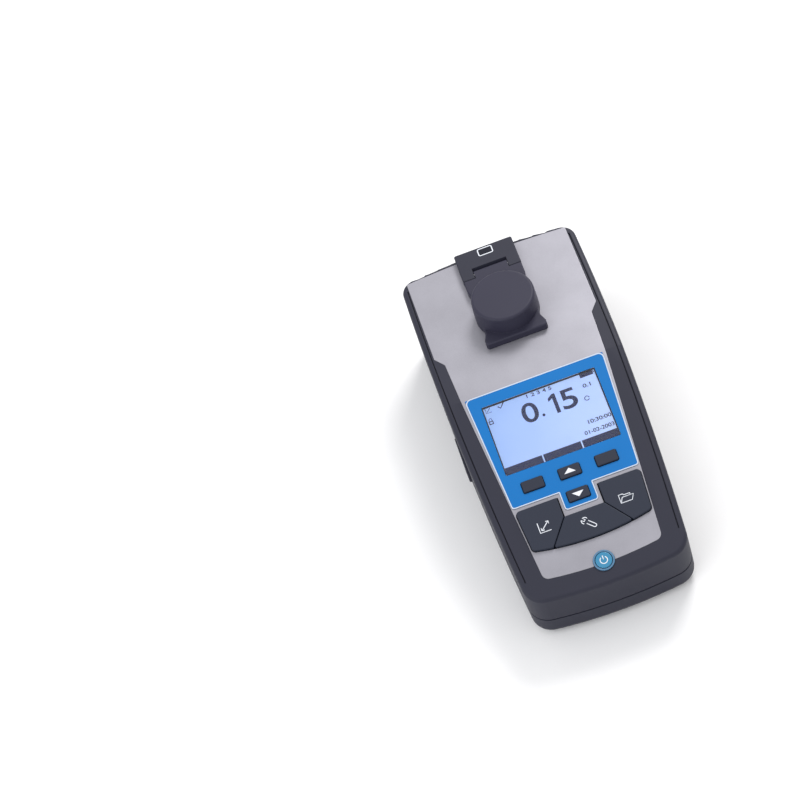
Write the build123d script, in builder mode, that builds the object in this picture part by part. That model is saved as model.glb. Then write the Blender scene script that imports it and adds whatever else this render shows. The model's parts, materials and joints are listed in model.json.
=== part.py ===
"""Handheld turbidity meter, lying on its back.

X runs across the width, +Y towards the sample lid, +Z out of the face. Millimetres.
The origin is at the middle of the footprint, on the surface that the feet stand on.
"""
import os
from math import cos, radians, sin, tan

from build123d import *

# Case outline, seen from the front
half_length = 114.5
foot_corner = (45.6, -110.8)
side_middle = (52.3, 0.0)
head_corner = (53.1, 110.9)
foot_corner_radius = 12.0
head_corner_radius = 9.0

# Case heights: a level plateau over the sample cell, then a face that falls towards the foot
plateau = 61.0
bend_y = 13.4
slope_angle = 11.6
back = 1.2
back_round = 6.0
rim_round = 2.4

# Case walls
wall = 2.8
roof = 2.8
floor_thick = 2.6
inner_round = 3.2
floor_top = back + floor_thick

# Parting joint between the two shells, which rises towards the head
parting_foot = 15.5
parting_angle = 4.1
joint_groove_half = 0.5
joint_groove_deep = 0.7
seal_inset = 1.25
seal_wide = 0.9
seal_half = 0.8
seal_clear = 0.05

# Crease along the rim of the face
crease_inset = 3.0
crease_wide = 0.7
crease_deep = 1.1
crease_foot_y = -99.0
crease_head_y = 104.0

# Case screws
case_screws = [(39.4, -90.0), (45.4, 22.0), (44.6, 86.0)]
column_radius = 3.6
screw_radius = 1.25
screw_clear = 0.1
screw_head_radius = 2.4
screw_head = 1.6
screw_seat_depth = 5.0
screw_bite = 7.0

# Rubber feet
feet = [(33.0, -103.2), (40.0, 99.5)]
foot_radius = 4.5
foot_recess = 0.8

# Silver face panel
sheet = 0.8
sheet_clear = 0.12
sheet_sides = [(33.4, -100.6), (42.6, bend_y), (44.0, 42.3), (48.7, 48.7), (49.1, 109.3)]
sheet_foot_bow = 2.6
sheet_head_bow = 2.0
sheet_foot_radius = 4.0
sheet_step_radius = 3.0
sheet_head_radius = 6.5

# Blue keypad panel, in the sloping face's own coordinates, whose zero is the bend
film = 0.3
film_sides = [(9.3, -83.0), (9.3, -72.0), (36.1, -72.0), (40.5, -0.9)]
film_radius = 3.0
film_tab_radius = 1.6

# Display
window_size = (66.4, 44.0)
window_v = -30.1
window_flange = 2.2
window_flange_thick = 0.8
window_clear = 0.1
lcd_edge = 0.6
lcd_gap = 0.15
lcd_thick = 2.2
backlight_thick = 2.3

# Keys
key_gap = 0.35
key_travel = 0.6
key_flange = 1.1
key_flange_thick = 0.9
key_flange_gap = 0.3
key_round = 0.5
small_key = (12.2, 6.6)
small_key_proud = 1.3
small_key_radius = 0.8
key_row_v = -62.4
key_row_x = 21.2
down_key_v = -76.6
pad_top_v = -74.8
pad_foot_v = -99.4
pad_foot_bow = 3.9
pad_top_half = 35.7
pad_foot_half = 33.8
pad_notch_half = 11.5
pad_notch_v = -86.7
pad_split_half = 22.0
pad_split_v = -101.0
pad_split_gap = 0.5
pad_radius = 2.4
pad_corner = 0.8
pad_proud = 1.7
power_v = -117.6
power_ring_radius = 5.85
power_ring_inner = 4.9
power_button_radius = 4.55
power_proud = 1.0

# Boards and the rubber mat under the keys
board_level = -8.7
board_thick = 1.6
board_half = 34.0
board_foot_v = -122.5
board_head_v = -0.8
post_radius = 2.5
posts = [(30.8, -3.9), (29.2, -111.6)]
mat_gap = 0.85
mat_pad = 1.0
mat_sheet = 0.8
mat_half = 33.4
mat_head_v = -56.0
mat_foot_v = -107.6
mat_skirt = 1.0
switch_size = 4.4
switch_height = 1.1

# Sample well and its optics
well_y = 63.3
well_radius = 12.9
well_floor = 8.0
well_wall = 2.0
well_base = 1.6
collar_radius = 15.9
collar_clear = 0.2
well_flange_radius = 18.4
well_flange_thick = 2.0
beam_height = 28.0
beam_radius = 2.4
block_half_x = 23.0
block_half_y = 21.0
block_top = 46.0
block_clear = 0.2
socket_radius = 4.3
socket_end = 16.4
part_clear = 0.15
lug_reach = 8.0
lug_thick = 3.0
lug_boss_height = 3.0
lug_boss_radius = 3.0
lug_screw_y = 15.0
sensor_board = 13.0
sensor_board_thick = 1.6

# Hinge block and lid
block_half = 17.8
block_foot_y = 91.9
block_head_y = 113.6
block_height = 4.6
slot_half = 10.5
slot_relief_clear = 0.25
slot_relief_below = 0.1
lid_swing = 115
pin_y = 96.0
pin_radius = 1.0
pin_fit = 0.06
lid_lift = 0.3
lid_plate = 4.4
lid_clear = 0.35
lid_radius = 18.7
lid_top = 77.0
lid_hollow_radius = 15.3
lid_roof = 2.6
lid_sides = [(17.2, 41.6), (18.2, 42.8), (18.2, 45.2), (16.5, 50.0), (16.5, 80.0), (17.6, 84.0)]
lid_seal_inner = 15.9
lid_seal_outer = 17.3
lid_seal_deep = 1.5

# Battery bay
cell_radius = 7.25
cell_body = 49.2
cell_nub_radius = 2.75
cell_nub = 1.3
cell_pitch = 16.2
cell_count = 4
cell_clear = 0.45
bay_foot_y = -95.0
bay_head_y = -38.0
tray_wall = 1.2
door_thick = 1.3
door_rebate = 2.0
door_gap = 0.25
door_lift = 0.2
door_screws = [-30.6, -102.4]
door_cup_radius = 4.0
door_cup_height = 3.1
door_neck_half = 3.2
door_boss_wall = 1.4
door_boss_height = 11.0
contact_thick = 0.4
contact_size = 9.0

# Side port
port_y = -4.0
port_z = 33.0
port_cap = (26.0, 13.0)
port_hole = (21.0, 7.0)
port_proud = 0.9
port_recess = 1.2
port_gap = 0.3
port_pad = 4.0

front_normal = (0, -sin(radians(slope_angle)), cos(radians(slope_angle)))
slope = Plane(origin=(0, bend_y, plateau), x_dir=(1, 0, 0), z_dir=front_normal)
parting_normal = (0, -sin(radians(parting_angle)), cos(radians(parting_angle)))
parting = Plane(origin=(0, -half_length, parting_foot), x_dir=(1, 0, 0), z_dir=parting_normal)
far = 200.0
tall = plateau + 30.0

# Levels under the sloping face, along its normal
wall_under = -roof
flange_top = wall_under - key_flange_gap
key_bottom = flange_top - key_flange_thick
mat_pad_top = key_bottom - mat_gap
mat_top = mat_pad_top - mat_pad
window_flange_top = -sheet
window_bottom = window_flange_top - window_flange_thick
lcd_top = window_bottom - lcd_gap
lcd_size = (window_size[0] - 2 * lcd_edge, window_size[1] - 2 * lcd_edge)

# Heights of the lid's parts, and the pin's height at the middle of the lid's plate
lid_bottom = plateau + lid_lift
lid_plate_top = lid_bottom + lid_plate
pin_z = lid_bottom + lid_plate / 2

tray_roof = back + door_thick + door_lift + 2 * cell_radius + 5.6
cell_z = back + door_thick + 1.6 + cell_radius
cell_places = [(i - (cell_count - 1) / 2) * cell_pitch for i in range(cell_count)]
channel_radius = cell_radius + cell_clear
bay_half = cell_places[-1] + channel_radius
bay_mid_y = (bay_foot_y + bay_head_y) / 2
bay_long = bay_head_y - bay_foot_y


def on_slope(level):
    return slope.offset(level)


def parting_height(y):
    return parting_foot + (y + half_length) * tan(radians(parting_angle))


def face_line(level):
    # The plateau and the slope in the YZ plane, moved out along their normals
    knee_y = bend_y - level * tan(radians(slope_angle / 2))
    knee_z = plateau + level
    low_y = knee_y - far * cos(radians(slope_angle))
    low_z = knee_z - far * sin(radians(slope_angle))
    return [(far, knee_z), (knee_y, knee_z), (low_y, low_z)]


def disc(arc, inset):
    # The disc that an edge of the case is an arc of
    with BuildSketch() as face:
        with Locations(arc.arc_center):
            Circle(arc.radius - inset)
    return face.sketch


def case_outline(inset):
    # The four bowed edges are arcs of large discs, and the outline is what the discs share
    left_foot = (-foot_corner[0], foot_corner[1])
    left_head = (-head_corner[0], head_corner[1])
    left_middle = (-side_middle[0], side_middle[1])
    left = disc(ThreePointArc(left_foot, left_middle, left_head), inset)
    with BuildSketch() as outline:
        add(disc(ThreePointArc(left_foot, (0, -half_length), foot_corner), inset))
        add(disc(ThreePointArc(left_head, (0, half_length), head_corner), inset), mode=Mode.INTERSECT)
        add(left, mode=Mode.INTERSECT)
        add(left.mirror(Plane.YZ), mode=Mode.INTERSECT)
        fillet(outline.vertices().group_by(Axis.Y)[0], foot_corner_radius - inset)
        fillet(outline.vertices().group_by(Axis.Y)[-1], head_corner_radius - inset)
    return outline.sketch


def sheet_outline(grow):
    left = [(-x, y) for x, y in reversed(sheet_sides)]
    with BuildSketch() as outline:
        with BuildLine():
            Polyline(*sheet_sides)
            ThreePointArc(sheet_sides[-1], (0, sheet_sides[-1][1] + sheet_head_bow), left[0])
            Polyline(*left)
            ThreePointArc(left[-1], (0, left[-1][1] - sheet_foot_bow), sheet_sides[0])
        make_face()
        rows = outline.vertices().group_by(Axis.Y)
        fillet(rows[0], sheet_foot_radius)
        fillet(rows[2] + rows[3], sheet_step_radius)
        fillet(rows[-1], sheet_head_radius)
        if grow:
            offset(amount=grow)
    return outline.sketch


def film_outline():
    with BuildSketch() as outline:
        with BuildLine():
            Polyline(*film_sides, *[(-x, v) for x, v in reversed(film_sides)], close=True)
        make_face()
        rows = outline.vertices().group_by(Axis.Y)
        fillet(rows[0] + rows[1], film_tab_radius)
        fillet(rows[-1], film_radius)
    return outline.sketch


def pad_outline(grow):
    # The whole three-key pad, with the notch that goes round the down key
    with BuildSketch() as outline:
        with BuildLine():
            Polyline(
                (pad_foot_half, pad_foot_v), (pad_top_half, pad_top_v),
                (pad_notch_half, pad_top_v), (pad_notch_half, pad_notch_v),
                (-pad_notch_half, pad_notch_v), (-pad_notch_half, pad_top_v),
                (-pad_top_half, pad_top_v), (-pad_foot_half, pad_foot_v),
            )
            ThreePointArc(
                (-pad_foot_half, pad_foot_v), (0, pad_foot_v - pad_foot_bow), (pad_foot_half, pad_foot_v)
            )
        make_face()
        corners = [v for v in outline.vertices() if abs(v.X) > pad_notch_half + 1]
        fillet(corners, pad_radius)
        if grow:
            offset(amount=grow)
    return outline.sketch


def pad_share(grow, side):
    # One key's part of the pad: side -1 is left, 1 is right and 0 is the middle
    lean = (pad_split_half - pad_notch_half) / (pad_notch_v - pad_split_v)
    low_x = pad_split_half + lean * (far + pad_split_v)
    gap = pad_split_gap / 2
    inner = pad_notch_half + gap
    crown_x = pad_notch_half - gap - lean * grow
    if side:
        mask = [(side * inner, far), (side * inner, pad_notch_v), (side * (low_x + gap), -far),
                (side * 2 * far, -far), (side * 2 * far, far)]
    else:
        mask = [(crown_x, pad_notch_v + grow), (low_x - gap, -far),
                (gap - low_x, -far), (-crown_x, pad_notch_v + grow)]
    with BuildSketch() as share:
        add(pad_outline(grow))
        with BuildSketch(mode=Mode.INTERSECT):
            with BuildLine():
                Polyline(*mask, close=True)
            make_face()
        corners = [v for v in share.vertices() if abs(v.X) < pad_split_half + 2]
        fillet(corners, pad_corner)
    return share.sketch


def rectangle_at(x, v, size, radius, grow):
    with BuildSketch() as outline:
        with Locations((x, v)):
            RectangleRounded(size[0] + 2 * grow, size[1] + 2 * grow, radius + grow)
    return outline.sketch


def disc_at(x, v, radius):
    with BuildSketch() as outline:
        with Locations((x, v)):
            Circle(radius)
    return outline.sketch


def prism(sketch, plane, height):
    # A sketch drawn in a plane's own coordinates, extruded along its normal
    with BuildPart() as solid:
        with BuildSketch(plane):
            add(sketch)
        extrude(amount=height)
    return solid.part


def under_face(sketch, floor, level):
    # A plan sketch raised from a floor to the face, less or plus a level along its normal
    with BuildPart() as solid:
        with BuildSketch(Plane.XY.offset(floor)):
            add(sketch)
        extrude(amount=tall - floor)
        with BuildSketch(Plane.YZ):
            with BuildLine():
                line = face_line(level)
                Polyline(*line, (line[-1][0], -far), (far, -far), close=True)
            make_face()
        extrude(amount=far, both=True, mode=Mode.INTERSECT)
    return solid.part


def parting_ring(inset, wide, half):
    # A ring that follows the case outline, about the parting plane
    with BuildPart() as ring:
        with BuildSketch():
            add(case_outline(inset))
            add(case_outline(inset + wide), mode=Mode.SUBTRACT)
        extrude(amount=tall)
        with BuildSketch(parting.offset(-half)):
            Rectangle(2 * far, 4 * far)
        extrude(amount=2 * half, mode=Mode.INTERSECT)
    return ring.part


def write(solid, label):
    solid.label = label
    export_step(solid, f"parts/{label}.step")


os.makedirs("parts", exist_ok=True)
both_sides = [(side * x, y) for x, y in case_screws for side in (-1, 1)]

# Outer body of the closed case, with its soft back and face edges
with BuildPart() as body:
    add(under_face(case_outline(0), back, 0))
    fillet(body.faces().sort_by(Axis.Z)[0].edges(), back_round)
    top_faces = [f for f in body.faces() if f.normal_at().Z > 0.9]
    rim = [e for f in top_faces for e in f.edges()]
    bend = [e for e in rim if abs(e.center().Y - bend_y) < 0.1 and e.length > 2 * crease_inset + 60]
    fillet([e for e in rim if e not in bend], rim_round)

# Inside of the case, less the screw columns
with BuildPart() as cavity:
    add(under_face(case_outline(wall), floor_top, -roof))
    fillet(cavity.faces().sort_by(Axis.Z)[0].edges(), inner_round)
    with BuildSketch():
        with Locations(*both_sides):
            Circle(column_radius)
    extrude(amount=tall, mode=Mode.SUBTRACT)

# Crease tool: a thin ring that reaches just under the face
with BuildPart() as crease:
    with BuildSketch(Plane.XY):
        add(case_outline(crease_inset))
        add(case_outline(crease_inset + crease_wide), mode=Mode.SUBTRACT)
    extrude(amount=tall)
    add(under_face(case_outline(0), 0, -crease_deep), mode=Mode.SUBTRACT)
    with BuildSketch():
        with Locations((0, (crease_foot_y + crease_head_y) / 2)):
            Rectangle(far, crease_head_y - crease_foot_y)
    extrude(amount=tall, mode=Mode.INTERSECT)

# Recess tool for the silver panel: everything over its floor
with BuildPart() as recess:
    add(under_face(sheet_outline(sheet_clear), plateau / 3, 5))
    add(under_face(case_outline(0), 0, -sheet), mode=Mode.SUBTRACT)

with BuildPart() as shell:
    add(body.part)
    add(cavity.part, mode=Mode.SUBTRACT)
    add(parting_ring(-1.0, 1.0 + joint_groove_deep, joint_groove_half), mode=Mode.SUBTRACT)
    add(
        parting_ring(seal_inset - seal_clear, seal_wide + 2 * seal_clear, seal_half + seal_clear),
        mode=Mode.SUBTRACT,
    )
    for x, y in both_sides:
        seat = parting_height(y) - screw_seat_depth
        with BuildSketch():
            with Locations((x, y)):
                Circle(screw_head_radius + 2 * screw_clear)
        extrude(amount=seat, mode=Mode.SUBTRACT)
        with BuildSketch():
            with Locations((x, y)):
                Circle(screw_radius + screw_clear)
        extrude(amount=parting_height(y) + screw_bite + 1, mode=Mode.SUBTRACT)

# Key outlines in the sloping face's coordinates
small_keys = {
    "softkey_left": (-key_row_x, key_row_v),
    "softkey_right": (key_row_x, key_row_v),
    "key_up": (0, key_row_v),
    "key_down": (0, down_key_v),
}
pad_keys = {"key_calibrate": -1, "key_tools": 0, "key_data": 1}

with BuildPart() as key_openings:
    with BuildSketch(on_slope(-roof - 1)):
        for x, v in small_keys.values():
            add(rectangle_at(x, v, small_key, small_key_radius, key_gap))
        add(pad_outline(key_gap))
    extrude(amount=roof + 3)

with BuildPart() as front_housing:
    add(shell.part)
    with BuildSketch(parting):
        Rectangle(2 * far, 4 * far)
    extrude(amount=far, mode=Mode.INTERSECT)
    add(crease.part, mode=Mode.SUBTRACT)
    add(recess.part, mode=Mode.SUBTRACT)
    add(key_openings.part, mode=Mode.SUBTRACT)
    # Display opening, with a rebate for the window's flange
    grown = (window_size[0] + 2 * window_flange, window_size[1] + 2 * window_flange)
    add(
        prism(rectangle_at(0, window_v, grown, 1, window_clear), on_slope(window_bottom), 3),
        mode=Mode.SUBTRACT,
    )
    add(prism(rectangle_at(0, window_v, lcd_size, 0.5, 0.2), on_slope(-roof - 1), 5), mode=Mode.SUBTRACT)
    add(prism(disc_at(0, power_v, power_ring_radius + 0.1), on_slope(-roof - 1), 6), mode=Mode.SUBTRACT)
    # Sample well's collar passes the roof
    with BuildSketch(Plane.XY.offset(plateau - roof - 1)):
        with Locations((0, well_y)):
            Circle(collar_radius + collar_clear)
    extrude(amount=roof + 2, mode=Mode.SUBTRACT)
    # Board posts under the face
    with BuildSketch(on_slope(board_level)):
        with Locations(*[(side * x, v) for x, v in posts for side in (-1, 1)]):
            Circle(post_radius)
    extrude(amount=-board_level - roof + 0.5)
    with BuildSketch(on_slope(board_level)):
        with Locations(*[(side * x, v) for x, v in posts for side in (-1, 1)]):
            Circle(0.9)
    extrude(amount=5, mode=Mode.SUBTRACT)
    # Seat and hole of the side port
    wall_x = -side_middle[0]
    with BuildSketch(Plane(origin=(wall_x + port_pad, port_y, port_z), x_dir=(0, 1, 0), z_dir=(1, 0, 0))):
        RectangleRounded(port_cap[0] + 2, port_cap[1], 1.0)
    extrude(amount=-3.0)
    with BuildSketch(Plane(origin=(wall_x + port_recess, port_y, port_z), x_dir=(0, 1, 0), z_dir=(1, 0, 0))):
        RectangleRounded(port_cap[0] + 2 * port_gap, port_cap[1] + 2 * port_gap, 3.3)
    extrude(amount=-5, mode=Mode.SUBTRACT)
    with BuildSketch(Plane(origin=(wall_x - 1, port_y, port_z), x_dir=(0, 1, 0), z_dir=(1, 0, 0))):
        RectangleRounded(port_hole[0] + 2 * port_gap, port_hole[1] + 2 * port_gap, 1.8)
    extrude(amount=8, mode=Mode.SUBTRACT)

write(front_housing.part, "front_housing")

with BuildPart() as rear_housing:
    add(shell.part)
    with BuildSketch(parting):
        Rectangle(2 * far, 4 * far)
    extrude(amount=-far, mode=Mode.INTERSECT)
    # Seats of the rubber feet
    with BuildSketch(Plane.XY.offset(back)):
        with Locations(*[(side * x, y) for x, y in feet for side in (-1, 1)]):
            Circle(foot_radius + 0.1)
    extrude(amount=foot_recess, mode=Mode.SUBTRACT)
    # Bosses for the door's screws
    with BuildSketch(Plane.XY.offset(back)):
        with Locations(*[(0, y) for y in door_screws]):
            Circle(door_cup_radius + door_gap + door_boss_wall)
    extrude(amount=door_boss_height)
    # Battery opening, with a rebate that the door and its two screw cups sit in
    with BuildSketch(Plane.XY.offset(back)):
        with Locations((0, bay_mid_y)):
            Rectangle(2 * bay_half, bay_long)
    extrude(amount=floor_thick, mode=Mode.SUBTRACT)
    with BuildSketch(Plane.XY.offset(back)):
        with Locations((0, bay_mid_y)):
            RectangleRounded(2 * (bay_half + door_rebate), bay_long + 2 * door_rebate, 2.0)
        for y in door_screws:
            with Locations((0, (y + bay_mid_y) / 2)):
                Rectangle(2 * (door_neck_half + door_gap), abs(y - bay_mid_y))
    extrude(amount=door_thick + door_lift, mode=Mode.SUBTRACT)
    with BuildSketch(Plane.XY.offset(back)):
        with Locations(*[(0, y) for y in door_screws]):
            Circle(door_cup_radius + door_gap)
    extrude(amount=door_cup_height + door_lift, mode=Mode.SUBTRACT)
    with BuildSketch(Plane.XY.offset(back)):
        with Locations(*[(0, y) for y in door_screws]):
            Circle(screw_radius + screw_clear)
    extrude(amount=door_boss_height - 1, mode=Mode.SUBTRACT)
    # Bosses that the optics block's lugs stand on
    lug_x = block_half_x + lug_reach / 2
    lug_places = [(i * lug_x, well_y + j * lug_screw_y) for i in (-1, 1) for j in (-1, 1)]
    with BuildSketch(Plane.XY.offset(floor_top)):
        with Locations(*lug_places):
            Circle(lug_boss_radius)
    extrude(amount=lug_boss_height)
    with BuildSketch(Plane.XY.offset(floor_top - 1)):
        with Locations(*lug_places):
            Circle(screw_radius + screw_clear)
    extrude(amount=lug_boss_height + 1, mode=Mode.SUBTRACT)
write(rear_housing.part, "rear_housing")

with BuildPart() as housing_seal:
    add(parting_ring(seal_inset, seal_wide, seal_half))
write(housing_seal.part, "housing_seal")

with BuildPart() as housing_screws:
    for x, y in both_sides:
        seat = parting_height(y) - screw_seat_depth
        with BuildSketch(Plane.XY.offset(seat - screw_head)):
            with Locations((x, y)):
                Circle(screw_head_radius)
        extrude(amount=screw_head)
        with BuildSketch(Plane.XY.offset(seat - screw_head)):
            with Locations((x, y)):
                RegularPolygon(1.1, 6)
        extrude(amount=screw_head * 0.7, mode=Mode.SUBTRACT)
        with BuildSketch(Plane.XY.offset(seat)):
            with Locations((x, y)):
                Circle(screw_radius)
        extrude(amount=screw_seat_depth + screw_bite)
write(housing_screws.part, "housing_screws")

with BuildPart() as rubber_feet:
    with BuildSketch():
        with Locations(*[(side * x, y) for x, y in feet for side in (-1, 1)]):
            Circle(foot_radius)
    extrude(amount=back + foot_recess)
    chamfer(rubber_feet.faces().group_by(Axis.Z)[0].edges(), 0.4)
write(rubber_feet.part, "rubber_feet")

with BuildPart() as face_panel:
    add(under_face(sheet_outline(0), plateau / 3, 0))
    add(under_face(case_outline(0), 0, -sheet), mode=Mode.SUBTRACT)
    add(key_openings.part, mode=Mode.SUBTRACT)
    grown = (window_size[0] + 2 * window_clear, window_size[1] + 2 * window_clear)
    add(prism(rectangle_at(0, window_v, grown, 0.8, 0), on_slope(-3), 5), mode=Mode.SUBTRACT)
    add(prism(disc_at(0, power_v, power_ring_radius + 0.1), on_slope(-3), 5), mode=Mode.SUBTRACT)
    with BuildSketch():
        with Locations((0, well_y)):
            Circle(collar_radius + collar_clear)
    extrude(amount=tall, mode=Mode.SUBTRACT)
write(face_panel.part, "face_panel")

with BuildPart() as blue_panel:
    with BuildSketch(on_slope(0)):
        add(film_outline())
        for x, v in small_keys.values():
            add(rectangle_at(x, v, small_key, small_key_radius, key_gap), mode=Mode.SUBTRACT)
        add(rectangle_at(0, window_v, grown, 0.8, 0), mode=Mode.SUBTRACT)
    extrude(amount=film)
write(blue_panel.part, "blue_panel")

with BuildPart() as display_window:
    with BuildSketch(on_slope(window_bottom)):
        with Locations((0, window_v)):
            RectangleRounded(window_size[0] + 2 * window_flange, window_size[1] + 2 * window_flange, 1)
    extrude(amount=window_flange_thick - 0.05)
    with BuildSketch(on_slope(window_bottom)):
        with Locations((0, window_v)):
            RectangleRounded(*window_size, 0.7)
    extrude(amount=film - window_bottom)
write(display_window.part, "display_window")

with BuildPart() as lcd_panel:
    with BuildSketch(on_slope(lcd_top - lcd_thick)):
        with Locations((0, window_v)):
            Rectangle(*lcd_size)
    extrude(amount=lcd_thick)
write(lcd_panel.part, "lcd_panel")

light_top = lcd_top - lcd_thick
with BuildPart() as backlight:
    with BuildSketch(on_slope(light_top - backlight_thick)):
        with Locations((0, window_v)):
            Rectangle(lcd_size[0] - 2, lcd_size[1] - 2)
    extrude(amount=backlight_thick)
write(backlight.part, "backlight")

# Frame that carries the display on the board, with a pocket for the backlight
with BuildPart() as lcd_frame:
    with BuildSketch(on_slope(board_level)):
        with Locations((0, window_v)):
            Rectangle(lcd_size[0] - 0.4, lcd_size[1] - 0.4)
    extrude(amount=light_top - board_level)
    with BuildSketch(on_slope(light_top - backlight_thick)):
        with Locations((0, window_v)):
            Rectangle(lcd_size[0] - 2 + 0.1, lcd_size[1] - 2 + 0.1)
    extrude(amount=backlight_thick + 1, mode=Mode.SUBTRACT)
    with BuildSketch(on_slope(board_level)):
        with Locations((0, window_v)):
            with GridLocations(lcd_size[0] / 3, 0, 2, 1):
                Rectangle(lcd_size[0] / 4, lcd_size[1] - 8)
    extrude(amount=1.0, mode=Mode.SUBTRACT)
write(lcd_frame.part, "lcd_frame")


def make_key(label, cap, flange, proud):
    # A cap with rounded top edges on a flange that stays under the face
    with BuildPart() as key:
        with BuildSketch(on_slope(key_bottom)):
            add(cap)
        extrude(amount=proud - key_bottom)
        fillet(key.faces().sort_by(slope_axis)[-1].edges(), key_round)
        with BuildSketch(on_slope(key_bottom)):
            add(flange)
        extrude(amount=key_flange_thick)
    write(key.part, label)


slope_axis = Axis((0, 0, 0), front_normal)
for label, (x, v) in small_keys.items():
    cap = rectangle_at(x, v, small_key, small_key_radius, 0)
    flange = rectangle_at(x, v, small_key, small_key_radius, key_flange)
    make_key(label, cap, flange, small_key_proud)
for label, side in pad_keys.items():
    make_key(label, pad_share(0, side), pad_share(key_flange, side), pad_proud)

with BuildPart() as power_ring:
    with BuildSketch(on_slope(key_bottom)):
        with Locations((0, power_v)):
            Circle(power_ring_radius)
            Circle(power_ring_inner, mode=Mode.SUBTRACT)
    extrude(amount=0.6 - key_bottom)
    with BuildSketch(on_slope(key_bottom)):
        with Locations((0, power_v)):
            Circle(power_ring_radius + 1.4)
            Circle(power_ring_inner, mode=Mode.SUBTRACT)
    extrude(amount=wall_under - key_bottom)
write(power_ring.part, "power_ring")

with BuildPart() as power_button:
    with BuildSketch(on_slope(key_bottom - 1)):
        with Locations((0, power_v)):
            Circle(power_button_radius)
    extrude(amount=power_proud + 1 - key_bottom)
    fillet(power_button.faces().sort_by(slope_axis)[-1].edges(), key_round)
write(power_button.part, "power_button")

# Rubber mat: a sheet with a pad under each key, and a skirt that stands on the board
with BuildPart() as keypad_mat:
    mat_mid_v = (mat_head_v + mat_foot_v) / 2
    mat_long = mat_head_v - mat_foot_v
    with BuildSketch(on_slope(board_level)):
        with Locations((0, mat_mid_v)):
            RectangleRounded(2 * mat_half, mat_long, 2)
    extrude(amount=mat_top - board_level)
    with BuildSketch(on_slope(board_level)):
        with Locations((0, mat_mid_v)):
            RectangleRounded(2 * (mat_half - mat_skirt), mat_long - 2 * mat_skirt, 1)
    extrude(amount=mat_top - mat_sheet - board_level, mode=Mode.SUBTRACT)
    with BuildSketch(on_slope(mat_top)):
        for x, v in small_keys.values():
            add(rectangle_at(x, v, small_key, small_key_radius, -0.5))
        with Locations((-22, -92), (0, -96), (22, -92)):
            RectangleRounded(13, 8, 1)
    extrude(amount=mat_pad)
write(keypad_mat.part, "keypad_mat")

switch_places = [*small_keys.values(), (-22, -92), (0, -96), (22, -92), (0, power_v)]
with BuildPart() as main_board:
    with BuildSketch(on_slope(board_level - board_thick)):
        with Locations((0, (board_head_v + board_foot_v) / 2)):
            RectangleRounded(2 * board_half, board_head_v - board_foot_v, 2)
        with Locations(*[(side * x, v) for x, v in posts for side in (-1, 1)]):
            Circle(screw_radius + screw_clear, mode=Mode.SUBTRACT)
    extrude(amount=board_thick)
write(main_board.part, "main_board")

with BuildPart() as key_switches:
    with BuildSketch(on_slope(board_level)):
        with Locations(*switch_places):
            Rectangle(switch_size, switch_size)
    extrude(amount=switch_height)
write(key_switches.part, "key_switches")

# Parts on the underside of the board: place, size and height of each
chips = [(-14, -34, 14, 14, 1.6), (12, -30, 9, 7, 1.4), (16, -52, 12, 6, 2.2), (-16, -62, 8, 8, 1.2),
         (4, -74, 16, 5, 3.0), (-22, -98, 6, 10, 1.8), (22, -92, 7, 7, 1.6), (0, -12, 20, 5, 3.2)]
with BuildPart() as board_parts:
    for x, v, wide, long, high in chips:
        with BuildSketch(on_slope(board_level - board_thick)):
            with Locations((x, v)):
                Rectangle(wide, long)
        extrude(amount=-high)
write(board_parts.part, "board_parts")

with BuildPart() as board_screws:
    with BuildSketch(on_slope(board_level - board_thick)):
        with Locations(*[(side * x, v) for x, v in posts for side in (-1, 1)]):
            Circle(2.0)
    extrude(amount=-1.4)
    with BuildSketch(on_slope(board_level - board_thick)):
        with Locations(*[(side * x, v) for x, v in posts for side in (-1, 1)]):
            Circle(0.8)
    extrude(amount=board_thick + 4)
write(board_screws.part, "board_screws")

# Tube that takes the sample cell, closed below, with three light ports at the beam's height
directions = {"source": (-1, 0, 0), "transmit": (1, 0, 0), "scatter": (0, 1, 0)}
reach = {"source": block_half_x, "transmit": block_half_x, "scatter": block_half_y}


def beam_plane(way, distance):
    # Square to the beam, at a distance from the well's axis
    dx, dy, dz = directions[way]
    place = (dx * distance, well_y + dy * distance, beam_height)
    return Plane(origin=place, x_dir=(0, 0, 1), z_dir=(dx, dy, dz))


def beam_section(way):
    # Holds the beam as its X axis, so that profiles can be turned about it
    dx, dy, dz = directions[way]
    return Plane(origin=(0, well_y, beam_height), x_dir=(dx, dy, dz), z_dir=(dy, -dx, 0))


def beam_axis(way):
    return Axis((0, well_y, beam_height), directions[way])


with BuildPart() as cell_holder:
    with BuildSketch(Plane.XZ.offset(-well_y)):
        with BuildLine():
            tube = well_radius + well_wall
            neck = plateau - roof
            Polyline(
                (0, well_floor - well_base), (tube, well_floor - well_base),
                (tube, neck - well_flange_thick), (well_flange_radius, neck - well_flange_thick),
                (well_flange_radius, neck), (collar_radius, neck), (collar_radius, plateau),
                (well_radius + 0.8, plateau), (well_radius, plateau - 0.8), (well_radius, well_floor),
                (0, well_floor), close=True,
            )
        make_face()
    revolve(axis=Axis((0, well_y, 0), (0, 0, 1)))
    for way in directions:
        with BuildSketch(beam_plane(way, well_radius - 2)):
            Circle(beam_radius)
        extrude(amount=well_wall + 4, mode=Mode.SUBTRACT)
write(cell_holder.part, "cell_holder")

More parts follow.
